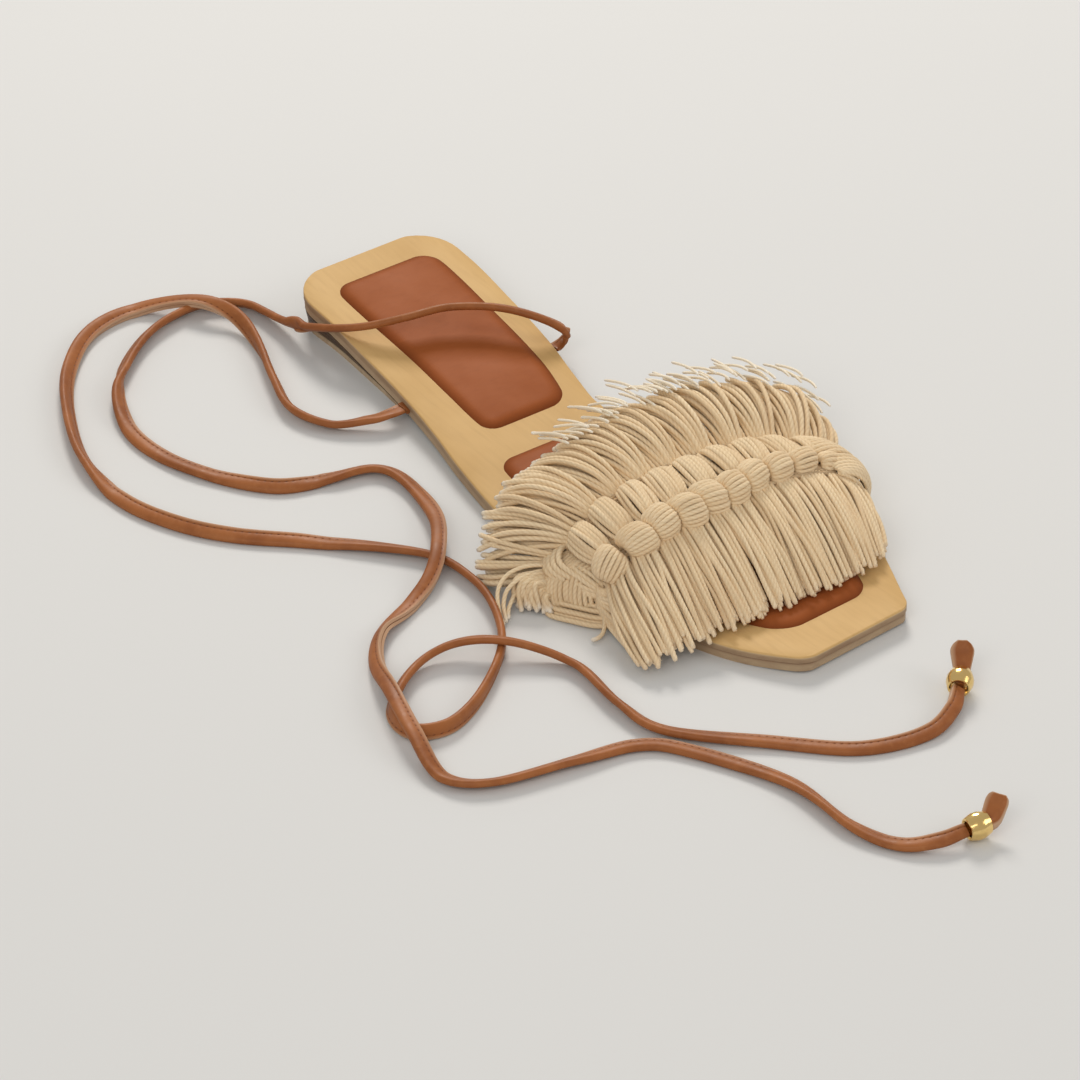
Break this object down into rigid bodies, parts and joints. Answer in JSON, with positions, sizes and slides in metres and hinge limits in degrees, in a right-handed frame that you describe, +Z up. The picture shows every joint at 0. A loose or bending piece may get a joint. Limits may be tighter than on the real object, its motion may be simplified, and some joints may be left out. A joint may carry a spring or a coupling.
{
  "type": "lace-up flat sandal",
  "caption": "Flat open-toe slide sandal with a hollow knotted cotton band, loose fringes over toes and instep, a padded footbed and long leather ankle ties ending in beads.",
  "frame": {"origin": "On the floor under the middle of the shoe, its ties left out of the measure.", "axes": "+Z up, +Y from toe to heel along the sole, +X to the inner (medial) side of this right shoe."},
  "size_m": [0.1956, 0.3823, 0.0318],
  "materials": {
    "board": "smooth natural light wood, satin",
    "sole": "matt tan",
    "stacked_heel": "dark brown stacked layers, satin",
    "top_lift": "matt pale tan",
    "pad_leather": "smooth mid-brown leather, soft satin",
    "cotton": "undyed twisted cotton cord, matt",
    "tie_leather": "mid-brown leather, satin, stitched edge",
    "bead_metal": "polished gold colour"
  },
  "bodies": {
    "root": {"outsole": "sole", "heel_block": "stacked_heel", "heel_top_lift": "top_lift", "footbed_board": "board", "heel_pad": "pad_leather", "forefoot_pad": "pad_leather", "upper_band": "cotton", "fringe_toe": "cotton", "fringe_heel": "cotton", "tie_crossing": "tie_leather", "tie_lateral": "tie_leather", "tie_medial": "tie_leather", "bead_lateral": "bead_metal", "bead_medial": "bead_metal", "knot_lateral": "tie_leather", "knot_medial": "tie_leather"}
  },
  "joints": []
}
